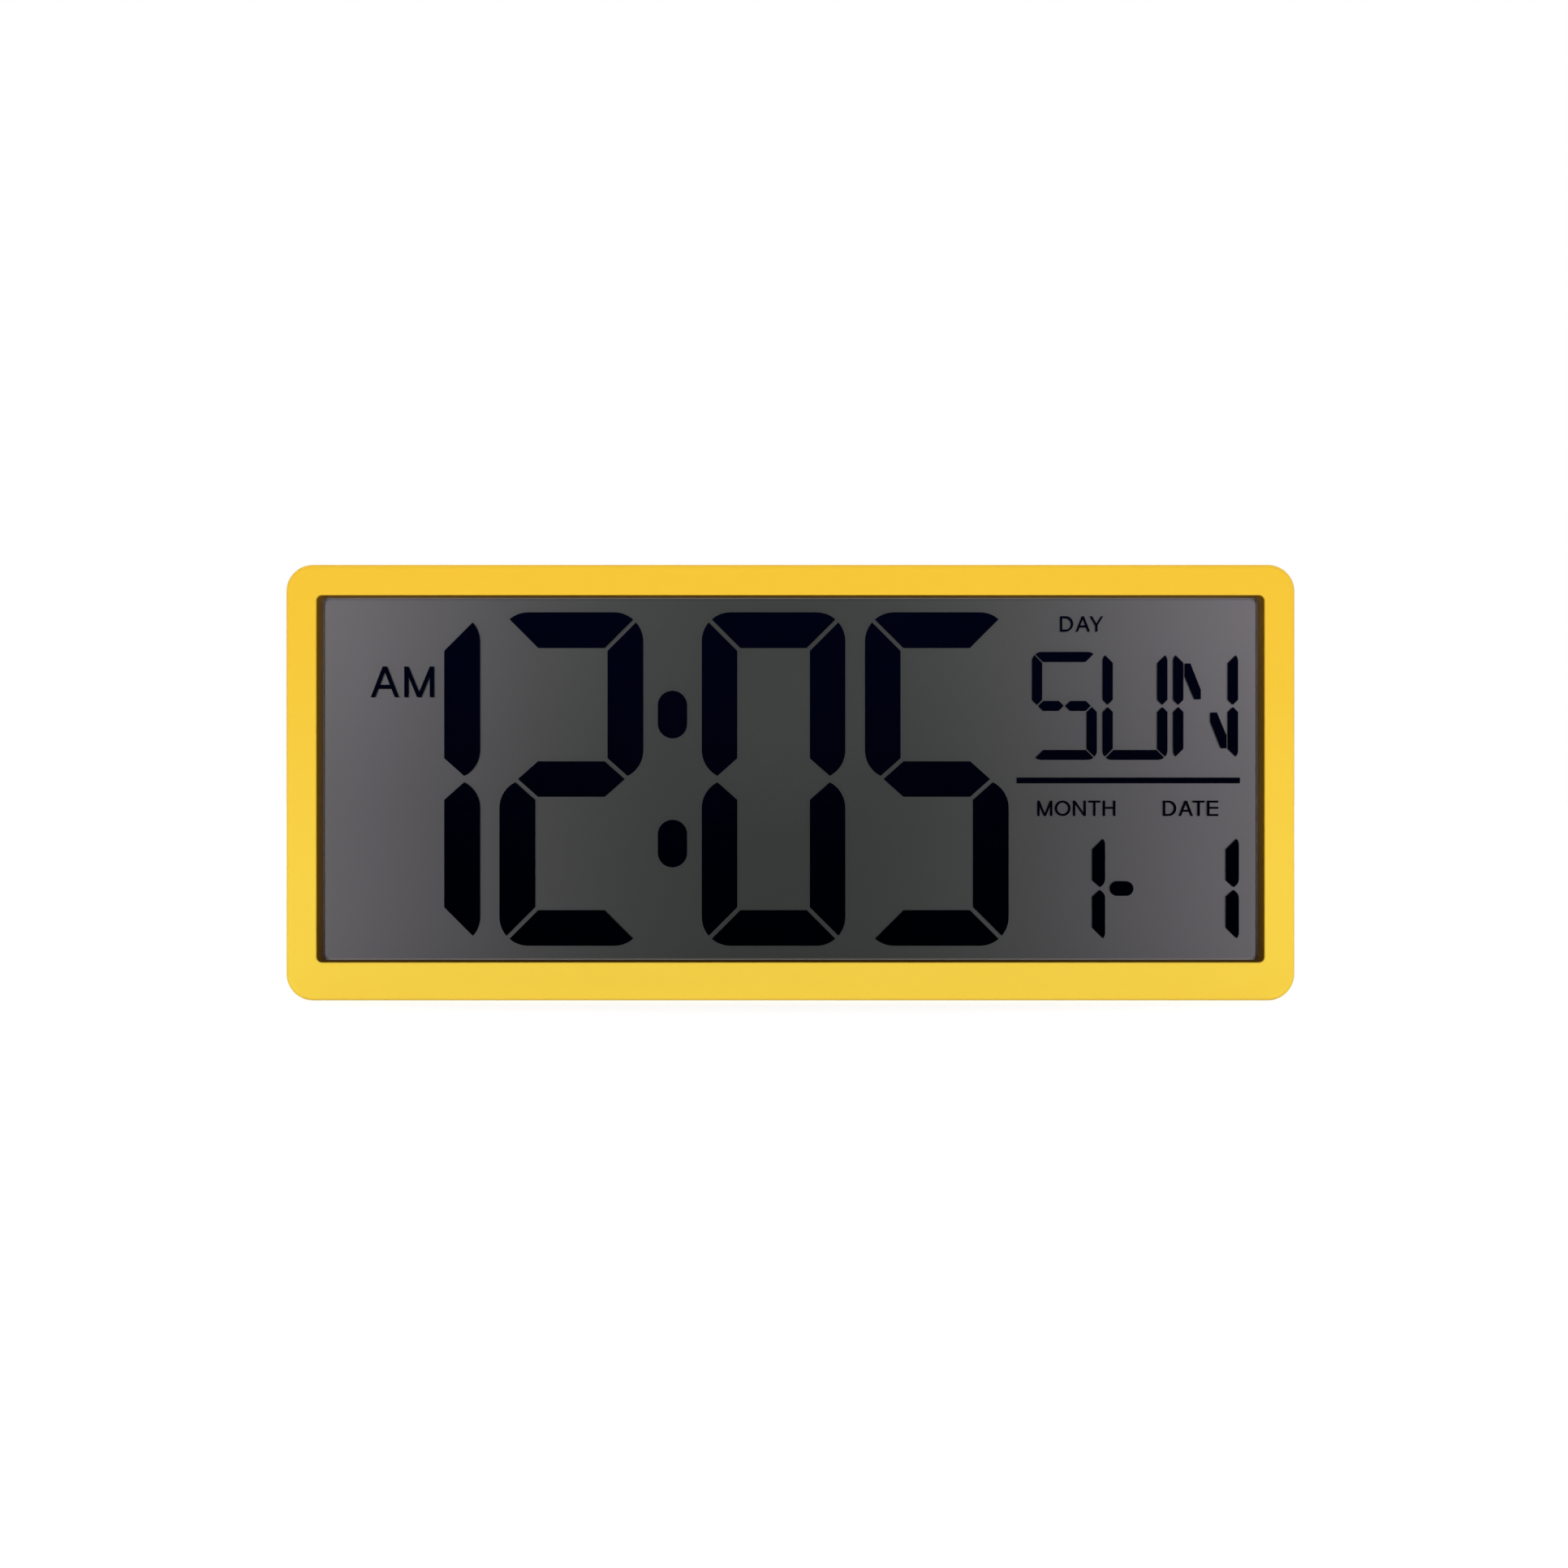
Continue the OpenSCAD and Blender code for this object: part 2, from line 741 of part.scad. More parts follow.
module stand_hinge_pins() {
    color("silver")
        for (side = [-1, 1])
            translate([side * leg_x, 0, leg_z])
                leg_pin(0, 0);
}

// Display panel

// A plate of the display from its lower edge z0 to its top
module display_plate(y0, y1, z0) {
    block([-glass_w / 2, glass_w / 2], [y0, y1], [z0, window_top + window_wall]);
}

module lcd_gasket() {
    color("#1c1c1c")
        layer(y_window_end, y_film)
            difference() {
                window_outline(window_wall - slip);
                window_outline(slip);
            }
}

module lcd_front_polariser() {
    color("#a9adab", 0.3)
        display_plate(y_film, y_glass_front, glass_bottom);
}

module lcd_front_glass() {
    color("#c8d2cf", 0.3)
        display_plate(y_glass_front, y_cell, ledge_bottom);
}

module lcd_seal() {
    color("#d8d8d0", 0.5)
        layer(y_cell, y_glass_rear)
            translate([0, window_z])
                difference() {
                    square([glass_w, glass_h], center = true);
                    square([glass_w - 2 * seal_w, glass_h - 2 * seal_w], center = true);
                }
}

module lcd_rear_glass() {
    color("#c8d2cf", 0.3)
        display_plate(y_glass_rear, y_reflector, glass_bottom);
}

module lcd_reflector() {
    color("#55595a")
        display_plate(y_reflector, y_clamp, glass_bottom);
}

// Figures lie in the layer between the two glass plates
module figures() {
    color(lit_ink)
        layer(y_cell, y_glass_rear)
            children();
}

// Seven-segment digits. Each lit segment is named by its usual letter, and the digit is centred.
module digit(lit, w, h, stroke, gap, r) {
    for (s = lit) {
        if (s == "a")
            end_segment(w, h, stroke, gap, r);
        if (s == "d")
            mirror([0, 1])
                end_segment(w, h, stroke, gap, r);
        if (s == "b")
            side_segment(w, h, stroke, gap, r);
        if (s == "c")
            mirror([0, 1])
                side_segment(w, h, stroke, gap, r);
        if (s == "f")
            mirror([1, 0])
                side_segment(w, h, stroke, gap, r);
        if (s == "e")
            mirror([1, 0])
                mirror([0, 1])
                    side_segment(w, h, stroke, gap, r);
        if (s == "g")
            waist_segment(w, stroke, gap);
    }
}

// How far a 45 degree cut moves along an edge to leave half of the gap
function mitre(gap) = gap / sqrt(2);

// Rounded outline of a digit's upper half
module half_digit(w, h, r) {
    translate([0, h / 4])
        rounded_rect(w, h / 2, r);
}

module end_segment(w, h, stroke, gap, r) {
    outer = w / 2 - mitre(gap);
    intersection() {
        half_digit(w, h, r);
        polygon([[-outer, h / 2], [outer, h / 2],
                 [outer - stroke, h / 2 - stroke], [stroke - outer, h / 2 - stroke]]);
    }
}

module side_segment(w, h, stroke, gap, r) {
    top = h / 2 - mitre(gap);
    slope = tan(waist_angle);
    waist = stroke / 2 - mitre(gap) * slope + gap / cos(waist_angle);
    tip = waist_tip * stroke;
    tip_z = waist - (stroke - tip) * slope;
    intersection() {
        half_digit(w, h, r);
        polygon([[w / 2 - stroke, waist], [w / 2 - stroke, top - stroke], [w / 2, top],
                 [w / 2, tip_z + tip * slope], [w / 2 - tip, tip_z]]);
    }
}

module waist_segment(w, stroke, gap) {
    flat = w / 2 - stroke - mitre(gap);
    tip = flat + stroke / 2 / tan(waist_angle);
    polygon([[-tip, 0], [-flat, stroke / 2], [flat, stroke / 2],
             [tip, 0], [flat, -stroke / 2], [-flat, -stroke / 2]]);
}

// A bar with round ends, upright or lying
module pill(w, h) {
    end_r = min(w, h) / 2;
    if (h > w)
        square([w, h - 2 * end_r], center = true);
    else
        square([w - 2 * end_r, h], center = true);
    for (side = [-1, 1])
        translate([side * (w / 2 - end_r), side * (h / 2 - end_r)])
            circle(end_r);
}

module time_digit(lit, x) {
    translate([x, digit_z])
        digit(lit, digit_w, digit_h, digit_stroke, digit_gap, digit_r);
}

module lcd_time_digits() {
    figures() {
        time_digit("bc", tens_x);
        time_digit("abged", hours_x);
        time_digit("abcdef", minute_tens_x);
        time_digit("afgcd", minutes_x);
    }
}

module lcd_colon() {
    figures()
        for (side = [-1, 1])
            translate([colon_x, digit_z + side * colon_pitch / 2])
                pill(colon_w, colon_h);
}

module date_digit(lit, x) {
    translate([x, date_z])
        digit(lit, date_w, date_h, date_stroke, date_gap, date_r);
}

module lcd_date_digits() {
    figures() {
        date_digit("bc", month_x);
        date_digit("bc", date_x);
    }
}

module lcd_date_dash() {
    figures()
        translate([dash_x, date_z])
            pill(dash_w, dash_h);
}

module lcd_divider_bar() {
    figures()
        translate([window_right - divider_margin - divider_w / 2, divider_z])
            square([divider_w, divider_t], center = true);
}

// Weekday characters, with split middle bars and slanted strokes.
// Lit strokes: t top, b bottom, l and r half middle bars, 1 2 3 4 uprights from the upper left
// clockwise, n and s the slanted strokes at the upper left and the lower right.
module day_character(lit, x) {
    translate([x, day_z])
        for (s = lit) {
            if (s == "t")
                day_bar();
            if (s == "b")
                mirror([0, 1])
                    day_bar();
            if (s == "l")
                day_half_bar();
            if (s == "r")
                mirror([1, 0])
                    day_half_bar();
            if (s == "1")
                day_upright();
            if (s == "2")
                mirror([1, 0])
                    day_upright();
            if (s == "3")
                rotate(180)
                    day_upright();
            if (s == "4")
                mirror([0, 1])
                    day_upright();
            if (s == "n")
                day_slant();
            if (s == "s")
                rotate(180)
                    day_slant();
        }
}

module day_bar() {
    outer = day_w / 2 - mitre(day_gap);
    intersection() {
        rounded_rect(day_w, day_h, day_r);
        polygon([[-outer, day_h / 2], [outer, day_h / 2],
                 [outer - day_stroke, day_h / 2 - day_stroke],
                 [day_stroke - outer, day_h / 2 - day_stroke]]);
    }
}

module day_upright() {
    left = -day_w / 2;
    right = left + day_stroke;
    top = day_h / 2 - mitre(day_gap);
    foot = mitre(day_gap) + day_stroke / 2;
    intersection() {
        rounded_rect(day_w, day_h, day_r);
        polygon([[left, foot], [left, top], [right, top - day_stroke],
                 [right, foot], [(left + right) / 2, foot - day_stroke / 2]]);
    }
}

module day_half_bar() {
    half = day_stroke / 2;
    left = -day_w / 2 + half + mitre(day_gap);
    right = -day_gap / 2;
    polygon([[left, 0], [left + half, half], [right - half, half],
             [right, 0], [right - half, -half], [left + half, -half]]);
}

module day_slant() {
    left = -day_w / 2 + day_stroke + day_gap;
    right = -day_stroke / 2;
    top = day_h / 2 - day_stroke - day_gap;
    foot = day_stroke / 2 + day_gap;
    head_w = 0.54 * day_stroke;
    foot_w = 0.62 * day_stroke;
    inner_h = 0.95 * day_stroke;
    outer_h = 1.3 * day_stroke;
    polygon([[left, top], [left + head_w, top], [right, foot + inner_h],
             [right, foot], [right - foot_w, foot], [left, top - outer_h]]);
}

module lcd_day_characters() {
    figures() {
        day_character("t1lr3b", day_right_x - 2 * day_pitch);
        day_character("14b23", day_right_x - day_pitch);
        day_character("1423ns", day_right_x);
    }
}

// Plain capitals drawn with strokes, as shares of the cap height
letter_stroke = 0.13;
letter_space = 0.18;
letters = "AMDYONTHE";
letter_widths = [0.91, 0.96, 0.84, 0.86, 1, 0.82, 0.76, 0.8, 0.7];
function letter_w(c) = letter_widths[search(c, letters)[0]];

// A slanted A stands close to a T or a Y
function space_after(c, next) = c == "A" && (next == "T" || next == "Y") ? 0 : letter_space;
function word_w(word, n) =
    n == 0 ? 0 : word_w(word, n - 1) + letter_w(word[n - 1]) + space_after(word[n - 1], word[n]);

// A word of cap height h whose middle stands at x on a line at z
module word(letters_in, x, z, h) {
    total = word_w(letters_in, len(letters_in)) - letter_space;
    translate([x - total * h / 2, z])
        scale(h)
            for (i = [0 : len(letters_in) - 1])
                translate([word_w(letters_in, i), 0])
                    capital(letters_in[i], letter_w(letters_in[i]));
}

// A straight stroke whose ends are cut level, from x0 at y0 to x1 at y1
module stroke(x0, y0, x1, y1) {
    half = letter_stroke / 2;
    polygon([[x0 - half, y0], [x0 + half, y0], [x1 + half, y1], [x1 - half, y1]]);
}

module cross_stroke(x0, x1, y) {
    translate([x0, y - letter_stroke / 2])
        square([x1 - x0, letter_stroke]);
}

// Stems at both sides of a letter
module stems(w) {
    for (x = [letter_stroke / 2, w - letter_stroke / 2])
        stroke(x, 0, x, 1);
}

module capital(c, w) {
    half = letter_stroke / 2;
    if (c == "A") {
        stroke(half, 0, w / 2, 1);
        stroke(w - half, 0, w / 2, 1);
        cross_stroke(0.2 * w, 0.8 * w, 0.34);
    }
    if (c == "M") {
        stems(w);
        stroke(w / 2, 0, half, 1);
        stroke(w / 2, 0, w - half, 1);
    }
    if (c == "N") {
        stems(w);
        stroke(w - half, 0, half, 1);
    }
    if (c == "H") {
        stems(w);
        cross_stroke(0, w, 0.53);
    }
    if (c == "T") {
        stroke(w / 2, 0, w / 2, 1);
        cross_stroke(0, w, 1 - half);
    }
    if (c == "E") {
        stroke(half, 0, half, 1);
        for (y = [half, 0.53, 1 - half])
            cross_stroke(0, w, y);
    }
    if (c == "Y") {
        stroke(w / 2, 0, w / 2, 0.45);
        stroke(w / 2, 0.4, half, 1);
        stroke(w / 2, 0.4, w - half, 1);
    }
    if (c == "O")
        translate([w / 2, 0.5])
            difference() {
                circle(0.5);
                circle(0.5 - letter_stroke);
            }
    if (c == "D")
        difference() {
            round_right(w, 1);
            translate([letter_stroke, letter_stroke])
                round_right(w - 2 * letter_stroke, 1 - 2 * letter_stroke);
        }
}

// A block whose right side is a half circle
module round_right(w, h) {
    square([w - h / 2, h]);
    intersection() {
        square([w, h]);
        translate([w - h / 2, h / 2])
            circle(h / 2);
    }
}

module lcd_am_mark() {
    am_w = (word_w("AM", 2) - letter_space) * am_h;
    figures()
        word("AM", am_right - am_w / 2, window_top - am_top - am_h, am_h);
}

module lcd_calendar_labels() {
    figures() {
        word("DAY", window_right - day_label_x, window_top - day_label_top - label_h, label_h);
        word("MONTH", window_right - month_label_x, date_label_top - label_h, label_h);
        word("DATE", window_right - date_label_x, date_label_top - label_h, label_h);
    }
}

// Frame that clamps the display against the window
module lcd_clamp_frame() {
    outer_w = body_w - 2 * wall - 2 * slip;
    outer_h = body_h - 2 * wall - 2 * slip;
    notch_w = ribbon_w + 2 * ribbon_notch_room;
    color("#3a3c3e")
        difference() {
            layer(y_clamp, y_clamp_back)
                difference() {
                    rounded_rect(outer_w, outer_h, corner_r - wall);
                    translate([0, window_z])
                        square([glass_w - 2 * clamp_grip, glass_h - 2 * clamp_grip], center = true);
                }
            at_bosses(cover_screw_xs)
                rod_y(0, 0, y_clamp - cut, y_clamp_back + cut, boss_r + slip);
            at_bosses(clamp_screw_xs)
                rod_y(0, 0, y_clamp - cut, y_clamp_back + cut, clamp_screw_r + slip);
            block(span(board_x, notch_w / 2), [y_clamp - cut, y_clamp_back + cut],
                  [ledge_bottom, glass_bottom + clamp_grip + cut]);
        }
}

module lcd_clamp_screws() {
    color("silver")
        at_bosses(clamp_screw_xs)
            screw(y_clamp_back, clamp_screw_r, clamp_screw_l, clamp_head_r, clamp_head_h);
}

// Ribbon from the display's contact ledge to the board, as a bent strip drawn in Y and Z
module lcd_ribbon() {
    bond_y = y_cell + ribbon_t / 2;
    turn_z = glass_bottom - ribbon_t;
    board_y = y_board_front - ribbon_t / 2;
    board_foot = board_z - board_h / 2;
    route = [
        [bond_y, ledge_bottom + ribbon_t],
        [bond_y, turn_z],
        [y_clamp_back + 1, turn_z],
        [board_y - 4, board_foot - 30],
        [board_y, board_foot - 2],
        [board_y, board_foot + ribbon_bond]
    ];
    color("#b87333")
        translate([board_x - ribbon_w / 2, 0, 0])
            rotate([90, 0, 90])
                linear_extrude(ribbon_w)
                    for (i = [0 : len(route) - 2])
                        strip(route[i], route[i + 1], ribbon_t);
}

// A straight strip of a bent band, with round ends that join it to the next one
module strip(p, q, t) {
    run = q - p;
    translate(p)
        rotate(atan2(run[1], run[0]))
            translate([0, -t / 2])
                square([norm(run), t]);
    for (end = [p, q])
        translate(end)
            circle(t / 2);
}

// Circuit board and what it carries

module circuit_board() {
    color("#2f6b3a")
        difference() {
            block(span(board_x, board_w / 2), [y_board_front, y_board_back],
                  span(board_z, board_h / 2));
            for (p = board_posts)
                rod_y(p[0], p[1], y_board_front - cut, y_board_back + cut, board_screw_r + slip);
        }
}

module circuit_board_screws() {
    color("silver")
        for (p = board_posts)
            translate([p[0], y_board_front, p[1]])
                rotate([0, 0, 180])
                    screw(0, board_screw_r, board_screw_l, board_head_r, board_head_h);
}

// Domed seal over the bare chip
module clock_chip() {
    chip_r = 5.5;
    chip_h = 1.7;
    dome_r = (chip_r * chip_r + chip_h * chip_h) / (2 * chip_h);
    color("#151515")
        translate([board_x - 4, y_board_front, board_z + 3])
            rotate([90, 0, 0])
                intersection() {
                    translate([0, 0, chip_h - dome_r])
                        sphere(dome_r);
                    cylinder(r = 2 * chip_r, h = 2 * chip_h);
                }
}

// Lying can of the quartz crystal
module quartz_crystal() {
    can_r = 1.05;
    can_l = 6.2;
    x = board_x + 12;
    color("silver")
        rod_x(x, x + can_l, y_board_front - can_r, board_z + 9, can_r);
}

module filter_capacitor() {
    can_r = 2.5;
    can_h = 6;
    color("#26324a")
        rod_y(board_x - 16, board_z + 12, y_board_front - can_h, y_board_front, can_r);
}

module chip_resistors() {
    count = 5;
    pitch = 3.2;
    size = [1.25, 0.55, 2];
    color("#1d1d1d")
        for (i = [0 : count - 1])
            translate([board_x + 8 + i * pitch, y_board_front - size[1], board_z - 6])
                cube(size);
}

module tactile_switches() {
    half = switch_w / 2;
    well_y = y_switch_back - plunger_depth - button_travel - slip;
    color("#222222")
        difference() {
            for (x = button_xs)
                block(span(x, half), [y_board_back, y_switch_back], span(button_z, half));
            for (x = button_xs)
                rod_y(x, button_z, well_y, y_switch_back + cut, plunger_r + slip);
        }
}

// Push button i: a cap through the cover and a flange behind it
module button(i) {
    color(graphite) {
        rod_y(button_xs[i], button_z, y_flange_front, y_flange_back, button_flange_r);
        rod_y(button_xs[i], button_z, y_flange_front, -button_sink, button_r);
    }
}

// Plunger of switch i, which reaches from the button's flange into the switch
module plunger(i) {
    color("#c8c8c8")
        rod_y(button_xs[i], button_z, y_switch_back - plunger_depth, y_flange_front, plunger_r);
}

// Battery bay contents

// A cell along X. Side 1 has its nub to the right and lies in the upper place.
module battery_cell(side) {
    nub_x = contact_inner_x - cell_room / 2;
    color("#7c858c")
        translate([0, y_cells, side * cell_pitch / 2])
            rotate([0, side > 0 ? 0 : 180, 0]) {
                rod_x(nub_x - cell_l, nub_x - nub_h, 0, 0, cell_r);
                rod_x(nub_x - nub_h - overlap, nub_x, 0, 0, nub_r);
            }
}

// Conical contact spring as one tube, from its foot at height 0 up to its tip
spring_rings = 8;
spring_sides = 6;
spring_count = spring_turns * spring_rings;
spring_rise = spring_l - 4 * spring_wire_r;
function spring_point(i) =
    let (share = i / spring_count, r = spring_foot_r + (spring_tip_r - spring_foot_r) * share,
         turn = 360 * i / spring_rings)
    [r * cos(turn), r * sin(turn), 2 * spring_wire_r + spring_rise * share];
function spring_ring(i) =
    let (turn = 360 * i / spring_rings, centre = spring_point(i))
    [for (k = [0 : spring_sides - 1])
        let (a = 360 * k / spring_sides, out = spring_wire_r * cos(a))
        centre + [out * cos(turn), out * sin(turn), spring_wire_r * sin(a)]];
spring_points = [for (i = [0 : spring_count]) each spring_ring(i)];
spring_skin = [for (i = [0 : spring_count - 1], k = [0 : spring_sides - 1])
    let (a = i * spring_sides + k, b = i * spring_sides + (k + 1) % spring_sides)
    each [[a, b, b + spring_sides], [a, b + spring_sides, a + spring_sides]]];
spring_end = spring_count * spring_sides;
spring_caps = [for (k = [1 : spring_sides - 2])
    each [[0, k + 1, k], [spring_end, spring_end + k, spring_end + k + 1]]];
spring_gap = min([for (i = [0 : spring_count - spring_rings], j = [i + spring_rings - 2 : spring_count])
    norm(spring_point(j) - spring_point(i))]) - 2 * spring_wire_r;
echo(spring_least_gap = spring_gap);

module battery_springs() {
    color("silver")
        for (side = [-1, 1])
            translate([0, y_cells, side * cell_pitch / 2])
                rotate([0, side * 90, 0])
                    translate([0, 0, -contact_inner_x])
                        polyhedron(spring_points, concat(spring_skin, spring_caps));
}

module battery_contact_plates() {
    plate_h = 2 * cell_r - 2;
    bridge_h = cell_pitch + plate_h;
    half_y = cell_r - 1;
    y = span(y_cells, half_y);
    color("silver") {
        block([-bay_w / 2, -contact_inner_x], y, [-bridge_h / 2, bridge_h / 2]);
        for (side = [-1, 1]) {
            z = side * cell_pitch / 2;
            block([contact_inner_x, bay_w / 2], y, span(z, plate_h / 2));
            block([contact_inner_x, bay_w / 2 + tab_reach], span(tab_y, contact_t / 2),
                  span(z, tab_w / 2));
        }
    }
}

// Short stiff lead from a contact tab to the board, under both
module lead(side) {
    start_x = bay_w / 2 + tab_reach - 2;
    end_x = board_x - board_w / 2 + board_post_inset - board_head_r - free;
    rod_x(start_x, end_x, y_board_front - lead_r, side * cell_pitch / 2, lead_r);
}

module battery_lead_red() {
    color("#b02020")
        lead(1);
}

module battery_lead_black() {
    color("#181818")
        lead(-1);
}

front_frame();
rear_cover();
rear_cover_screws();
battery_door();
stand_leg(-1);  // stand_leg_left
stand_leg(1);  // stand_leg_right
stand_hinge_pins();
lcd_gasket();
lcd_front_polariser();
lcd_front_glass();
lcd_seal();
lcd_time_digits();
lcd_colon();
lcd_am_mark();
lcd_day_characters();
lcd_divider_bar();
lcd_calendar_labels();
lcd_date_digits();
lcd_date_dash();
lcd_rear_glass();
lcd_reflector();
lcd_clamp_frame();
lcd_clamp_screws();
lcd_ribbon();
circuit_board();
circuit_board_screws();
clock_chip();
quartz_crystal();
filter_capacitor();
chip_resistors();
tactile_switches();
button(0);  // mode_button
button(1);  // up_button
button(2);  // down_button
button(3);  // format_button
plunger(0);  // mode_plunger
plunger(1);  // up_plunger
plunger(2);  // down_plunger
plunger(3);  // format_plunger
battery_cell(1);  // battery_cell_upper
battery_cell(-1);  // battery_cell_lower
battery_springs();
battery_contact_plates();
battery_lead_red();
battery_lead_black();
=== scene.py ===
import json
import math

import bpy
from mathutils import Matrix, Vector

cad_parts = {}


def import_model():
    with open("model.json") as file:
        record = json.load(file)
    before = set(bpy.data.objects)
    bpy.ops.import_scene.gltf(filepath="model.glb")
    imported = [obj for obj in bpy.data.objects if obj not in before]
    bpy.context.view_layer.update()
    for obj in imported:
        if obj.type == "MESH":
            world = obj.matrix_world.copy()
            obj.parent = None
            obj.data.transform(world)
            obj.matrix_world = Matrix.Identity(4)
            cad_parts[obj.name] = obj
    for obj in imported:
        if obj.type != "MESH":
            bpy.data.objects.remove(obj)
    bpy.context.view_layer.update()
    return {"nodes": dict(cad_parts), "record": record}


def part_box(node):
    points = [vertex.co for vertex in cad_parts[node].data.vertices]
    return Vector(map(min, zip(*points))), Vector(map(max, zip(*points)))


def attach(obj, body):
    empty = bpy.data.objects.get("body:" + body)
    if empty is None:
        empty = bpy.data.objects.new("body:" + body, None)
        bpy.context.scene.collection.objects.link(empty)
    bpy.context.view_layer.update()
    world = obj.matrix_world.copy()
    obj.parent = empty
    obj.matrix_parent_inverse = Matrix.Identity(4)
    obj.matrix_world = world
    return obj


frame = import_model()

# Places on the clock, in metres, read from the frame
NODES = frame["nodes"]
FRONT_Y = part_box("front_frame")[0][1]
SEAM_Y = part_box("front_frame")[1][1]
SIDE_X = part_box("front_frame")[1][0]
FLOOR_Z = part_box("front_frame")[0][2]
TOP_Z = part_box("front_frame")[1][2]
GLASS_LOW, GLASS_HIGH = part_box("lcd_reflector")
MM = 0.001

# Camera, from the photograph's framing
IMAGE_PIXELS = 1932
PIXELS_PER_MM = 3.447
CAMERA_DISTANCE = 0.670
CAMERA_X = -0.0023
CAMERA_Z = -0.0005
SENSOR_MM = 36.0

# Light levels, where 1 shows a white surface as white
KEY_LEVEL = 0.915
FRONT_FILL = 0.01
SIDE_FILL = 2.0
BACK_FILL = 1.0
FLOOR_GLOW_BEFORE = 0.86
FLOOR_GLOW_BEHIND = 0.68
FLOOR_GLOW_FAR = 1.0

# Stage, in metres
KEY_PLACE = Vector((0.0, -6.0, 0.12))
KEY_SIZE = 0.5
FLOOR_REACH = 6.0
GLOW_NEAR = 0.4
GLOW_FAR = 2.0
CONTACT_REACH = 0.045

# Legends at the back keys, in metres
WORD_H = 4.6 * MM
WORD_T = 0.02 * MM
WORD_Y = 0.01 * MM
WORD_LIFT = 3.4 * MM

WHITE = (1.0, 1.0, 1.0, 1.0)


def srgb(red, green, blue):
    """A colour given in 0 to 255 display values, as linear red, green, blue and alpha."""
    def linear(value):
        share = value / 255.0
        return share / 12.92 if share <= 0.04045 else ((share + 0.055) / 1.055) ** 2.4
    return (linear(red), linear(green), linear(blue), 1.0)


# Shader helpers, for a material or the world

def new_material(name):
    """A node material with a Principled shader, and that shader."""
    material = bpy.data.materials.new(name)
    material.use_nodes = True
    return material, material.node_tree.nodes["Principled BSDF"]


def join(owner, source, target):
    owner.node_tree.links.new(source, target)


def feed(owner, socket, value):
    """Sets a socket to a value, or links it to another node's output."""
    if isinstance(value, bpy.types.NodeSocket):
        join(owner, value, socket)
    else:
        socket.default_value = value


def coordinates(owner, kind):
    """For a material, Object gives the point on the clock in metres: nodes sit at the frame's origin.
    For the world, Generated gives the direction."""
    return owner.node_tree.nodes.new("ShaderNodeTexCoord").outputs[kind]


def axis(owner, letter, kind="Object"):
    split = owner.node_tree.nodes.new("ShaderNodeSeparateXYZ")
    join(owner, coordinates(owner, kind), split.inputs["Vector"])
    return split.outputs[letter]


def calc(owner, operation, first, second=0.0):
    node = owner.node_tree.nodes.new("ShaderNodeMath")
    node.operation = operation
    feed(owner, node.inputs[0], first)
    feed(owner, node.inputs[1], second)
    return node.outputs["Value"]


def ramp_between(owner, value, low, high, at_low=0.0, at_high=1.0, run="SMOOTHSTEP"):
    """A value that runs from at_low to at_high while the input runs from low to high."""
    node = owner.node_tree.nodes.new("ShaderNodeMapRange")
    node.interpolation_type = run
    feed(owner, node.inputs["Value"], value)
    node.inputs["From Min"].default_value = low
    node.inputs["From Max"].default_value = high
    feed(owner, node.inputs["To Min"], at_low)
    feed(owner, node.inputs["To Max"], at_high)
    return node.outputs["Result"]


def rays_of(owner, *kinds):
    """1 for rays of any of these kinds and 0 for others."""
    path = owner.node_tree.nodes.new("ShaderNodeLightPath")
    total = path.outputs[kinds[0]]
    for kind in kinds[1:]:
        total = calc(owner, "MAXIMUM", total, path.outputs[kind])
    return total


def blend_shaders(owner, factor, first, second, output):
    """Shows the first shader where factor is 0 and the second where it is 1."""
    blend = owner.node_tree.nodes.new("ShaderNodeMixShader")
    feed(owner, blend.inputs["Fac"], factor)
    join(owner, first, blend.inputs[1])
    join(owner, second, blend.inputs[2])
    join(owner, blend.outputs["Shader"], owner.node_tree.nodes[output].inputs["Surface"])


def noise(material, wavelength, detail=2.0, stretch=(1.0, 1.0, 1.0)):
    """Noise from 0 to 1 whose grains measure about wavelength metres."""
    mapping = material.node_tree.nodes.new("ShaderNodeMapping")
    join(material, coordinates(material, "Object"), mapping.inputs["Vector"])
    mapping.inputs["Scale"].default_value = stretch
    node = material.node_tree.nodes.new("ShaderNodeTexNoise")
    join(material, mapping.outputs["Vector"], node.inputs["Vector"])
    node.inputs["Scale"].default_value = 1.0 / wavelength
    node.inputs["Detail"].default_value = detail
    return node.outputs["Fac"]


def mix_colour(material, factor, first, second):
    node = material.node_tree.nodes.new("ShaderNodeMix")
    node.data_type = "RGBA"
    feed(material, node.inputs["Factor"], factor)
    colour_inputs = [s for s in node.inputs if s.type == "RGBA"]
    feed(material, colour_inputs[0], first)
    feed(material, colour_inputs[1], second)
    return [s for s in node.outputs if s.type == "RGBA"][0]


def bump(material, shader, height, depth, strength):
    node = material.node_tree.nodes.new("ShaderNodeBump")
    node.inputs["Strength"].default_value = strength
    node.inputs["Distance"].default_value = depth
    join(material, height, node.inputs["Height"])
    join(material, node.outputs["Normal"], shader.inputs["Normal"])


# Finishes

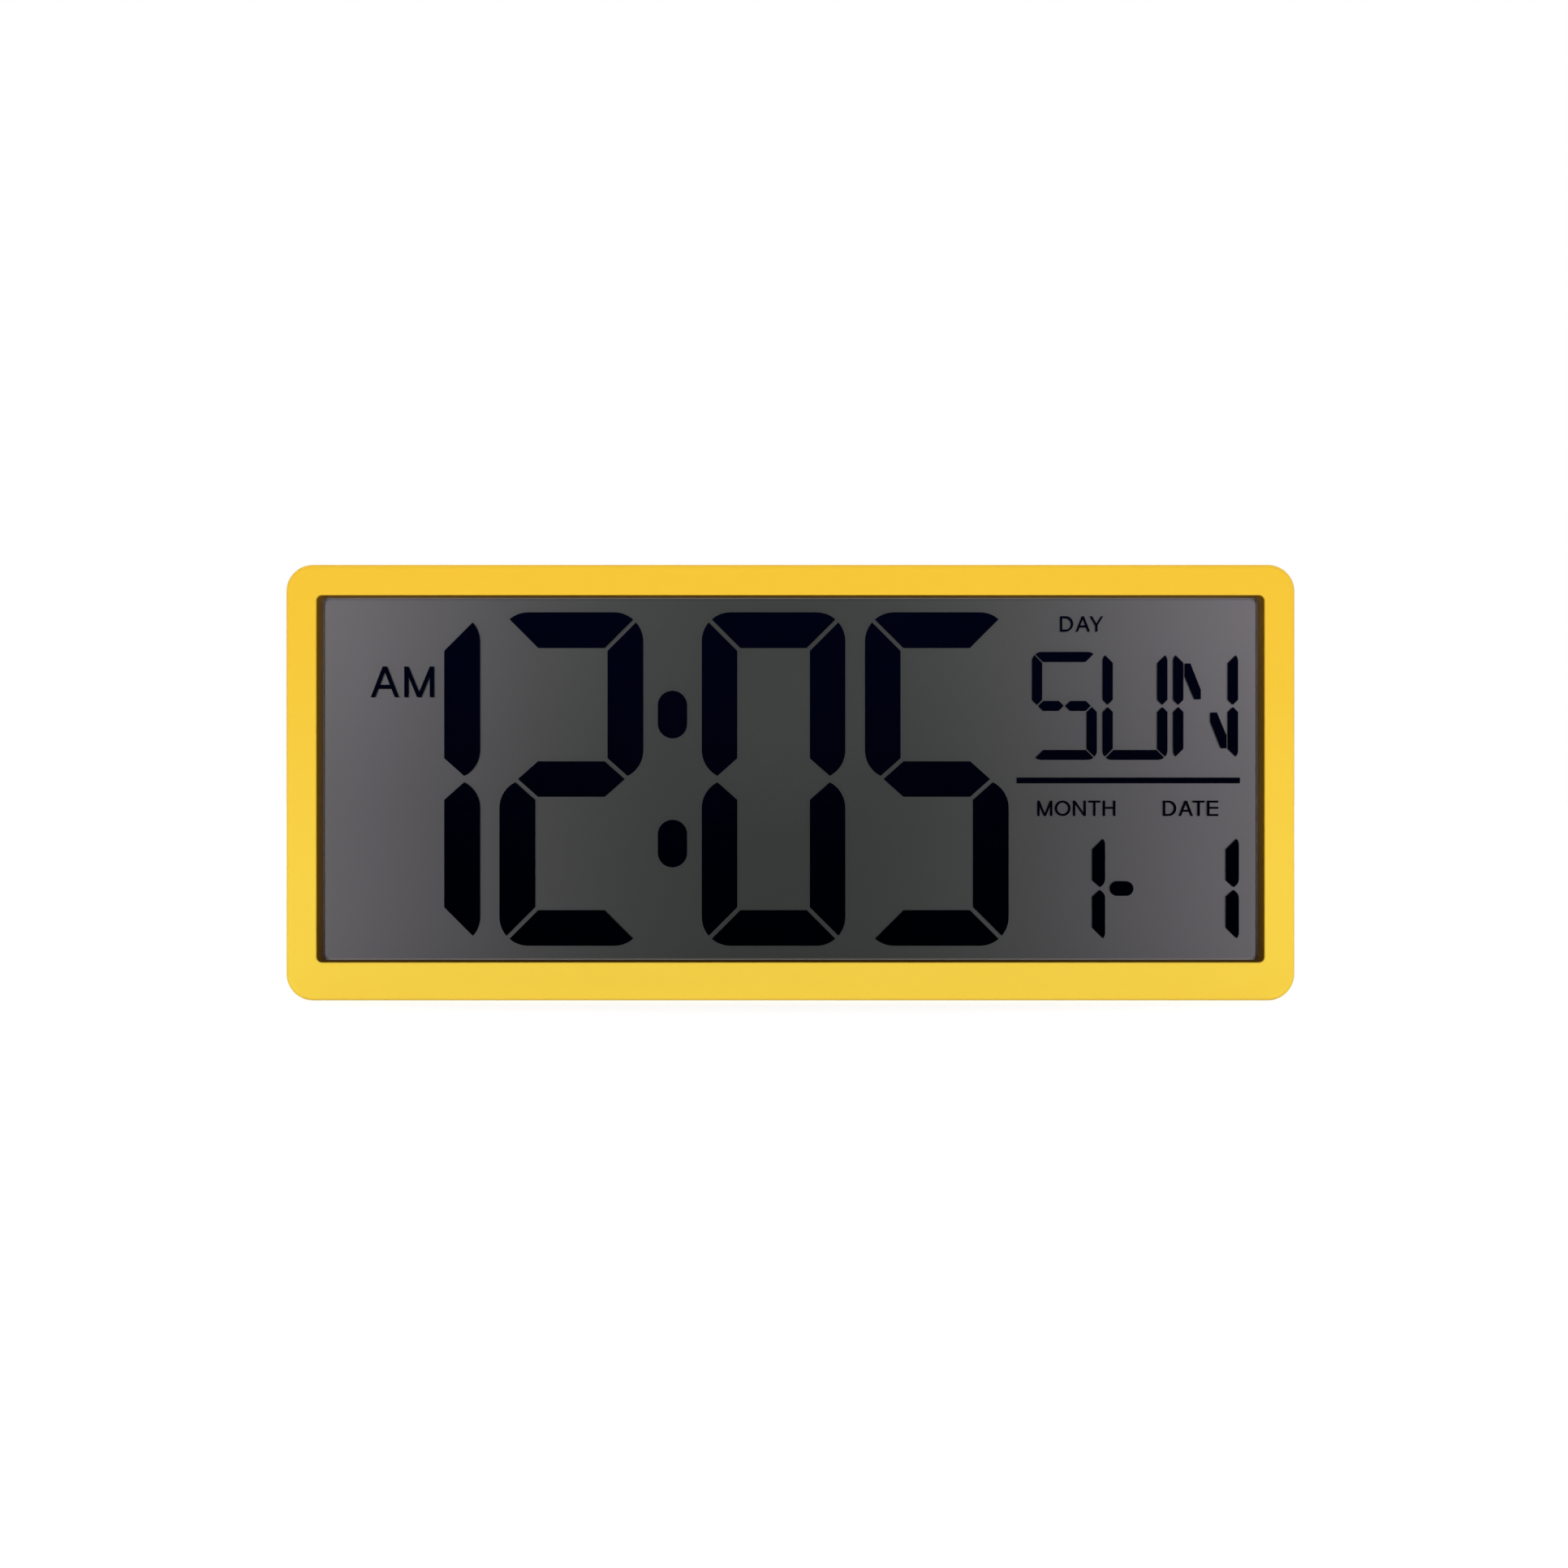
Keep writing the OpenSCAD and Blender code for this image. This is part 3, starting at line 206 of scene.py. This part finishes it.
def plastic(name, colour, shade, grain=0.45 * MM, roughness=(0.42, 0.54), specular=0.3):
    """Moulded plastic: a faint mottle, a fine eroded grain and an uneven sheen."""
    material, shader = new_material(name)
    mottle = calc(material, "MULTIPLY", noise(material, 24 * MM, 3.0), 0.35)
    feed(material, shader.inputs["Base Color"], mix_colour(material, mottle, colour, shade))
    sheen = ramp_between(material, noise(material, 5 * MM, 4.0), 0.25, 0.75, *roughness)
    feed(material, shader.inputs["Roughness"], sheen)
    shader.inputs["Specular IOR Level"].default_value = specular
    bump(material, shader, noise(material, grain, 2.0), 0.02 * MM, 0.35)
    return material


def yellow_plastic(name, has_window):
    """The casing's yellow with painted shade: a little darker and warmer towards the top, and a painted
    shadow along the parting line.
    """
    material, shader = new_material(name)
    # Painted shade: the yellow darkens and turns more orange towards the top.
    height = ramp_between(material, axis(material, "Z"), FLOOR_Z, TOP_Z)
    body = mix_colour(material, height, srgb(250, 214, 74), srgb(245, 197, 54))
    mottle = calc(material, "MULTIPLY", noise(material, 30 * MM, 3.0), 0.16)
    body = mix_colour(material, mottle, body, srgb(241, 194, 50))
    shader.inputs["Specular IOR Level"].default_value = 0.28
    if has_window:
        # Painted shade: the window's walls, the same yellow plastic, are darkened and greyed with depth
        # into the recess, and lose their sheen.
        walls = shaded_window_walls(material)
        depth = ramp_between(material, axis(material, "Y"), FRONT_Y + 1.5 * MM, FRONT_Y + 10 * MM)
        shade = mix_colour(material, depth, srgb(202, 148, 17), srgb(163, 132, 94))
        body = mix_colour(material, walls, body, shade)
        matt = ramp_between(material, walls, 0.0, 1.0, 0.28, 0.0)
        feed(material, shader.inputs["Specular IOR Level"], matt)
    # Painted shadow: a dark line along the parting line at the seam.
    from_seam = calc(material, "ABSOLUTE", calc(material, "SUBTRACT", axis(material, "Y"), SEAM_Y))
    seam_shadow = ramp_between(material, from_seam, 0.08 * MM, 0.22 * MM, 0.85, 0.0)
    feed(material, shader.inputs["Base Color"], mix_colour(material, seam_shadow, body, srgb(96, 66, 8)))
    sheen = ramp_between(material, noise(material, 6 * MM, 4.0), 0.25, 0.75, 0.40, 0.52)
    feed(material, shader.inputs["Roughness"], sheen)
    bump(material, shader, noise(material, 0.5 * MM, 2.0), 0.02 * MM, 0.30)
    return material


def shaded_window_walls(material):
    """1 on the walls of the display window, where shade is painted, and 0 on the frame's outside."""
    rim = 6 * MM
    inside = ramp_between(material, axis(material, "Y"), FRONT_Y + 0.3 * MM, FRONT_Y + 1.5 * MM)
    for letter, edge in (("X", SIDE_X), ("Z", TOP_Z)):
        from_middle = calc(material, "ABSOLUTE", axis(material, letter))
        inside = calc(material, "MULTIPLY", inside, calc(material, "LESS_THAN", from_middle, edge - rim))
    return inside


def metal(name, colour, stretch=(1.0, 1.0, 1.0), roughness=(0.22, 0.38)):
    """Plated metal with fine drawn marks."""
    material, shader = new_material(name)
    marks = noise(material, 0.6 * MM, 3.0, stretch)
    darker = tuple(0.72 * part for part in colour[:3]) + (1.0,)
    feed(material, shader.inputs["Base Color"], mix_colour(material, marks, colour, darker))
    feed(material, shader.inputs["Roughness"], ramp_between(material, marks, 0.2, 0.8, *roughness))
    shader.inputs["Metallic"].default_value = 1.0
    bump(material, shader, marks, 0.01 * MM, 0.2)
    return material


def reflecting_film():
    """Grey transflecting film with painted light and shade: darkest in the middle, paler to both sides as
    a painted reflection of side lights, and a little darker towards the bottom.
    """
    material, shader = new_material("reflecting_film")
    middle_x = -4 * MM
    reach = GLASS_HIGH[0] - middle_x
    # Painted reflection: the grey pales towards both sides, as if side lights were reflected there.
    aside = calc(material, "ABSOLUTE", calc(material, "SUBTRACT", axis(material, "X"), middle_x))
    share = calc(material, "POWER", calc(material, "DIVIDE", aside, reach), 2.1)
    side_lit_grey = mix_colour(material, share, srgb(63, 65, 64), srgb(115, 112, 117))
    # Painted shade: the film darkens towards the bottom.
    shade_towards_foot = ramp_between(material, axis(material, "Z"), -20 * MM, GLASS_HIGH[2], 0.18, 0.0)
    film = mix_colour(material, shade_towards_foot, side_lit_grey, srgb(0, 0, 0))
    # Painted light: a pale border where the window's walls shade the film.
    film = mix_colour(material, painted_light_border(material), film, srgb(226, 214, 206))
    feed(material, shader.inputs["Base Color"], film)
    sheen = ramp_between(material, noise(material, 2 * MM), 0.3, 0.7, 0.08, 0.11)
    feed(material, shader.inputs["Roughness"], sheen)
    shader.inputs["Metallic"].default_value = 0.3
    shader.inputs["Specular IOR Level"].default_value = 0.0
    return material


def painted_light_border(material):
    """1 on the film's painted light border, under the window's walls where they shade it, and 0 in the
    open.
    """
    from_side = calc(material, "SUBTRACT", GLASS_HIGH[0], calc(material, "ABSOLUTE", axis(material, "X")))
    from_top = calc(material, "SUBTRACT", GLASS_HIGH[2], axis(material, "Z"))
    from_foot = calc(material, "SUBTRACT", axis(material, "Z"), GLASS_LOW[2])
    nearest = calc(material, "MINIMUM", from_side, calc(material, "MINIMUM", from_top, from_foot))
    return ramp_between(material, nearest, 1.2 * MM, 2.2 * MM, 1.0, 0.0)


def figure_ink():
    """Dark liquid crystal figures, with a blue cast that fades downwards."""
    material, shader = new_material("display_ink")
    height = ramp_between(material, axis(material, "Z"), GLASS_LOW[2], GLASS_HIGH[2])
    blue = mix_colour(material, height, srgb(0, 1, 4), srgb(2, 4, 21))
    mottle = calc(material, "MULTIPLY", noise(material, 8 * MM), 0.4)
    feed(material, shader.inputs["Base Color"], mix_colour(material, mottle, blue, srgb(0, 0, 0)))
    shader.inputs["Roughness"].default_value = 0.6
    shader.inputs["Specular IOR Level"].default_value = 0.0
    return material


def clear_sheet(name, tint, share, roughness):
    """A thin clear plate: seen straight on it only passes light, and at a slant it reflects a share."""
    material, shader = new_material(name)
    nodes = material.node_tree.nodes
    nodes.remove(shader)
    clear = nodes.new("ShaderNodeBsdfTransparent")
    clear.inputs["Color"].default_value = tint
    gloss = nodes.new("ShaderNodeBsdfGlossy")
    sheen = ramp_between(material, noise(material, 1.5 * MM, 3.0), 0.3, 0.7, *roughness)
    feed(material, gloss.inputs["Roughness"], sheen)
    slant = nodes.new("ShaderNodeLayerWeight")
    mirrored = calc(material, "MULTIPLY", calc(material, "POWER", slant.outputs["Facing"], 5.0), share)
    blend_shaders(material, mirrored, clear.outputs["BSDF"], gloss.outputs["BSDF"], "Material Output")
    return material


def cell_sleeve(name, side):
    """A plain battery sleeve with a copper band at the nub's end and bare metal at both ends."""
    material, shader = new_material(name)
    low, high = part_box(name)
    along = calc(material, "MULTIPLY", axis(material, "X"), float(side))
    start = low[0] if side > 0 else -high[0]
    end = high[0] if side > 0 else -low[0]
    band_l, nub_l, foot_l = 15.1 * MM, 1.1 * MM, 0.1 * MM
    fade = 0.05 * MM
    band = ramp_between(material, along, end - band_l - 2 * fade, end - band_l + 2 * fade)
    bare = ramp_between(material, along, end - nub_l - fade, end - nub_l + fade)
    foot = ramp_between(material, along, start + foot_l + fade, start + foot_l - fade)
    sleeve = mix_colour(material, band, srgb(34, 36, 40), srgb(176, 112, 62))
    ends = calc(material, "MAXIMUM", bare, foot)
    feed(material, shader.inputs["Base Color"], mix_colour(material, ends, sleeve, srgb(190, 190, 186)))
    copper = calc(material, "MULTIPLY", band, 0.6)
    feed(material, shader.inputs["Metallic"], calc(material, "MAXIMUM", ends, copper))
    sheen = ramp_between(material, noise(material, 3 * MM), 0.3, 0.7, 0.24, 0.34)
    feed(material, shader.inputs["Roughness"], sheen)
    return material


def circuit_green():
    """Solder mask over a faint net of tracks."""
    material, shader = new_material("board_green")
    tracks = material.node_tree.nodes.new("ShaderNodeTexBrick")
    join(material, coordinates(material, "Object"), tracks.inputs["Vector"])
    tracks.inputs["Scale"].default_value = 60.0
    tracks.inputs["Mortar Size"].default_value = 0.03
    tracks.inputs["Color1"].default_value = srgb(36, 92, 52)
    tracks.inputs["Color2"].default_value = srgb(33, 86, 48)
    tracks.inputs["Mortar"].default_value = srgb(62, 124, 74)
    feed(material, shader.inputs["Base Color"], tracks.outputs["Color"])
    sheen = ramp_between(material, noise(material, 4 * MM), 0.3, 0.7, 0.28, 0.4)
    feed(material, shader.inputs["Roughness"], sheen)
    return material


def record_slot(name):
    return next(part["material_slot"] for part in frame["record"]["subparts"] if part["node"] == name)


def dress(names, material):
    for name in names:
        mesh = NODES[name].data
        mesh.materials.clear()
        mesh.materials.append(material)


def dress_all_nodes():
    keys = ("mode", "up", "down", "format")
    figures = [name for name in NODES if record_slot(name) == "display_ink"]
    dress(["front_frame"], yellow_plastic("frame_yellow", True))
    dress(["rear_cover", "battery_door", "stand_leg_left", "stand_leg_right"],
          yellow_plastic("yellow_plastic", False))
    dress(["rear_cover_screws", "lcd_clamp_screws", "circuit_board_screws", "quartz_crystal"],
          metal("steel", srgb(196, 196, 192)))
    dress(["stand_hinge_pins", "battery_springs", "battery_contact_plates"],
          metal("plated_steel", srgb(206, 205, 200), (0.2, 1.0, 1.0)))
    dress([key + "_button" for key in keys] + ["lcd_clamp_frame", "tactile_switches"],
          plastic("dark_plastic", srgb(46, 48, 50), srgb(36, 38, 40)))
    dress([key + "_plunger" for key in keys] + ["lcd_seal"],
          plastic("pale_plastic", srgb(196, 196, 190), srgb(182, 182, 176)))
    # The gasket's pale grey is partly its own colour and partly painted light, lifted against the deep
    # shade in the recess.
    dress(["lcd_gasket"],
          plastic("gasket_rubber", srgb(168, 166, 163), srgb(156, 154, 151), 0.8 * MM, (0.7, 0.85), 0.2))
    dress(figures, figure_ink())
    dress(["lcd_reflector"], reflecting_film())
    dress(["lcd_front_polariser"], clear_sheet("display_film", WHITE, 0.12, (0.10, 0.16)))
    dress(["lcd_front_glass", "lcd_rear_glass"],
          clear_sheet("display_glass", (0.99, 1.0, 0.995, 1.0), 0.01, (0.02, 0.05)))
    dress(["circuit_board"], circuit_green())
    dress(["clock_chip", "chip_resistors"],
          plastic("chip_black", srgb(24, 24, 24), srgb(16, 16, 16), roughness=(0.3, 0.45)))
    dress(["filter_capacitor"], plastic("capacitor_sleeve", srgb(38, 50, 74), srgb(30, 40, 60)))
    dress(["lcd_ribbon"],
          plastic("ribbon_film", srgb(170, 104, 48), srgb(140, 82, 36), roughness=(0.25, 0.35)))
    dress(["battery_lead_red"],
          plastic("lead_red", srgb(170, 32, 30), srgb(150, 26, 24), roughness=(0.3, 0.4)))
    dress(["battery_lead_black"],
          plastic("lead_black", srgb(22, 22, 22), srgb(15, 15, 15), roughness=(0.3, 0.4)))
    dress(["battery_cell_upper"], cell_sleeve("battery_cell_upper", 1))
    dress(["battery_cell_lower"], cell_sleeve("battery_cell_lower", -1))


def set_ray_visibility():
    """The camera meets the front film only: the glasses behind it lie face to face with other pieces.
    The film mirrors the room, not the window's own walls."""
    for name in ("lcd_front_polariser", "lcd_front_glass", "lcd_rear_glass"):
        plate = NODES[name]
        plate.visible_shadow = False
        plate.visible_glossy = False
        plate.visible_diffuse = False
    for name in ("lcd_front_glass", "lcd_rear_glass"):
        NODES[name].visible_camera = False
    for name in ("front_frame", "lcd_gasket"):
        NODES[name].visible_glossy = False


# Pieces that the frame lacks

def back_words():
    """Plain legends printed beside the keys."""
    ink = plastic("legend_ink", srgb(58, 52, 40), srgb(48, 43, 34), 0.3 * MM)
    legends = {"mode_button": "SET", "up_button": "+", "down_button": "−", "format_button": "12/24"}
    for key, word in legends.items():
        low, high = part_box(key)
        text = bpy.data.curves.new(key + "_legend", "FONT")
        text.body = word
        text.size = WORD_H
        text.extrude = WORD_T
        text.align_x = "CENTER"
        text.align_y = "CENTER"
        draft = bpy.data.objects.new(key + "_draft", text)
        bpy.context.collection.objects.link(draft)
        worked_out = draft.evaluated_get(bpy.context.evaluated_depsgraph_get())
        shape = bpy.data.meshes.new_from_object(worked_out)
        bpy.data.objects.remove(draft)
        piece = bpy.data.objects.new(key + "_legend", shape)
        bpy.context.collection.objects.link(piece)
        piece.rotation_euler = (math.pi / 2, 0.0, math.pi)
        piece.location = ((low[0] + high[0]) / 2, WORD_Y, high[2] + WORD_LIFT)
        shape.materials.clear()
        shape.materials.append(ink)
        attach(piece, "housing")


# Stage

def floor():
    """A wide white floor under the clock, shown plain white in anything that mirrors it. Its glow for the
    camera is weaker near the clock, and behind the clock it is dimmed by occlusion into a painted contact
    shadow.
    """
    mesh = bpy.data.meshes.new("floor")
    signs = ((-1, -1), (1, -1), (1, 1), (-1, 1))
    corners = [(x * FLOOR_REACH, y * FLOOR_REACH, FLOOR_Z) for x, y in signs]
    mesh.from_pydata(corners, [], [(0, 1, 2, 3)])
    ground = bpy.data.objects.new("floor", mesh)
    bpy.context.collection.objects.link(ground)
    material, shader = new_material("floor")
    shader.inputs["Base Color"].default_value = (0.5, 0.5, 0.5, 1.0)
    shader.inputs["Roughness"].default_value = 0.9
    shader.inputs["Specular IOR Level"].default_value = 0.0
    shader.inputs["Emission Color"].default_value = WHITE
    nodes = material.node_tree.nodes
    distance = nodes.new("ShaderNodeVectorMath")
    distance.operation = "LENGTH"
    join(material, coordinates(material, "Object"), distance.inputs[0])
    # Painted contact shadow: behind the clock and within its width, the glow fades where the clock hides
    # the open sky.
    open_sky = nodes.new("ShaderNodeAmbientOcclusion")
    open_sky.samples = 8
    open_sky.inputs["Distance"].default_value = CONTACT_REACH
    from_middle = calc(material, "ABSOLUTE", axis(material, "X"))
    shade = ramp_between(material, from_middle, SIDE_X - 20 * MM, SIDE_X, open_sky.outputs["AO"], 1.0)
    behind = calc(material, "MULTIPLY", shade, FLOOR_GLOW_BEHIND)
    near = ramp_between(material, axis(material, "Y"), FRONT_Y, 0.0, FLOOR_GLOW_BEFORE, behind)
    glow = ramp_between(material, distance.outputs["Value"], GLOW_NEAR, GLOW_FAR, near, FLOOR_GLOW_FAR)
    shown = calc(material, "MULTIPLY", rays_of(material, "Is Camera Ray"), glow)
    join(material, shown, shader.inputs["Emission Strength"])
    mirrored = nodes.new("ShaderNodeEmission")
    blend_shaders(material, rays_of(material, "Is Glossy Ray", "Is Transmission Ray"),
                  shader.outputs["BSDF"], mirrored.outputs["Emission"], "Material Output")
    mesh.materials.append(material)


def world():
    """White to look at; as light, dim from the front, full from the sides and softer from behind.
    Rays that come by way of gloss or glass see the white too."""
    studio = bpy.data.worlds.new("studio")
    studio.use_nodes = True
    nodes = studio.node_tree.nodes
    light = nodes["Background"]
    light.inputs["Color"].default_value = WHITE
    backwards = axis(studio, "Y", "Generated")
    rise = ramp_between(studio, backwards, 0.0, 0.1, FRONT_FILL, SIDE_FILL, "LINEAR")
    ease = ramp_between(studio, backwards, 0.3, 0.8, 1.0, BACK_FILL / SIDE_FILL, "LINEAR")
    join(studio, calc(studio, "MULTIPLY", rise, ease), light.inputs["Strength"])
    shown = nodes.new("ShaderNodeBackground")
    shown.inputs["Color"].default_value = WHITE
    seen = rays_of(studio, "Is Camera Ray", "Is Glossy Ray", "Is Transmission Ray")
    blend_shaders(studio, seen, light.outputs["Background"], shown.outputs["Background"], "World Output")
    bpy.context.scene.world = studio


def lamp(name, where, size, level):
    """A square soft light aimed at the clock, as strong there as level says."""
    data = bpy.data.lights.new(name, "AREA")
    data.size = size
    data.energy = level * math.pi ** 2 * where.length_squared
    light = bpy.data.objects.new(name, data)
    bpy.context.collection.objects.link(light)
    light.location = where
    light.rotation_euler = (-where).to_track_quat("-Z", "Y").to_euler()
    light.visible_glossy = False


def camera():
    data = bpy.data.cameras.new("camera")
    data.sensor_width = SENSOR_MM
    data.lens = PIXELS_PER_MM * CAMERA_DISTANCE / MM * SENSOR_MM / IMAGE_PIXELS
    data.clip_start = 0.01
    eye = bpy.data.objects.new("camera", data)
    bpy.context.collection.objects.link(eye)
    eye.location = (CAMERA_X, FRONT_Y - CAMERA_DISTANCE, CAMERA_Z)
    eye.rotation_euler = (math.pi / 2, 0.0, 0.0)
    bpy.context.scene.camera = eye


camera()
dress_all_nodes()
set_ray_visibility()
back_words()
floor()
world()
lamp("key", KEY_PLACE, KEY_SIZE, KEY_LEVEL)
bpy.context.scene.view_settings.view_transform = "Standard"
